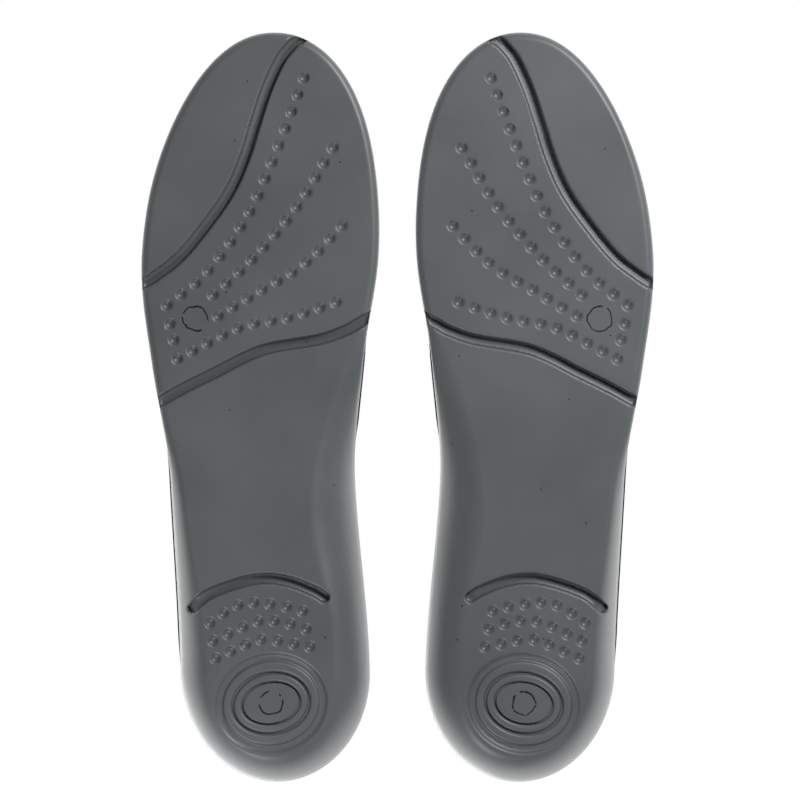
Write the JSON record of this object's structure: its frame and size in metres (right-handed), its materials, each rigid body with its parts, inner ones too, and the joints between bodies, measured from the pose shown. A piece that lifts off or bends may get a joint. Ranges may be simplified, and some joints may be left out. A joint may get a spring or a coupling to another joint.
{
  "type": "cushioned insole pair",
  "caption": "Pair of cushioned insoles: moulded foam base with flex grooves, oval heel pad, cushion foam and cloth top cover.",
  "frame": {"origin": "on the floor, at the middle of the pair's bounding box", "axes": "+Z is the foot side, +Y points to the toes, the right insole is on +X"},
  "size_m": [0.184, 0.27, 0.022],
  "materials": {
    "moulded_foam": "satin, fine moulded skin",
    "heel_gel": "satin, smooth moulded",
    "cushion_foam": "matte open-cell foam",
    "top_cloth": "matte knit"
  },
  "bodies": {
    "right_rear": {"right_rear_base": "moulded_foam", "right_heel_pad": "heel_gel", "right_rear_foam": "cushion_foam", "right_rear_cover": "top_cloth"},
    "right_ball": {"right_ball_base": "moulded_foam", "right_ball_foam": "cushion_foam", "right_ball_cover": "top_cloth"},
    "right_toe": {"right_toe_base": "moulded_foam", "right_toe_foam": "cushion_foam", "right_toe_cover": "top_cloth"},
    "left_rear": {"left_rear_base": "moulded_foam", "left_heel_pad": "heel_gel", "left_rear_foam": "cushion_foam", "left_rear_cover": "top_cloth"},
    "left_ball": {"left_ball_base": "moulded_foam", "left_ball_foam": "cushion_foam", "left_ball_cover": "top_cloth"},
    "left_toe": {"left_toe_base": "moulded_foam", "left_toe_foam": "cushion_foam", "left_toe_cover": "top_cloth"}
  },
  "joints": [
    {"name": "right_ball_flex", "type": "hinge", "parent": "right_rear", "child": "right_ball", "pos_m": [0.04805, 0.0176, 0.0062], "axis": [0.9256, -0.3786, 0], "range_deg": [-5, 45], "stiffness_Nm_per_rad": 0.06},
    {"name": "right_toe_flex", "type": "hinge", "parent": "right_ball", "child": "right_toe", "pos_m": [0.06275, 0.08955, 0.0062], "axis": [0.5607, -0.828, 0], "range_deg": [-5, 25], "stiffness_Nm_per_rad": 0.03},
    {"name": "left_ball_flex", "type": "hinge", "parent": "left_rear", "child": "left_ball", "pos_m": [-0.04805, 0.0176, 0.0062], "axis": [0.9256, 0.3786, 0], "range_deg": [-5, 45], "stiffness_Nm_per_rad": 0.06},
    {"name": "left_toe_flex", "type": "hinge", "parent": "left_ball", "child": "left_toe", "pos_m": [-0.06275, 0.08955, 0.0062], "axis": [0.5607, 0.828, 0], "range_deg": [-5, 25], "stiffness_Nm_per_rad": 0.03},
    {"name": "left_lift", "type": "slide", "parent": "right_rear", "child": "left_rear", "axis": [0, 0, 1], "range_m": [0, 0.06]}
  ]
}
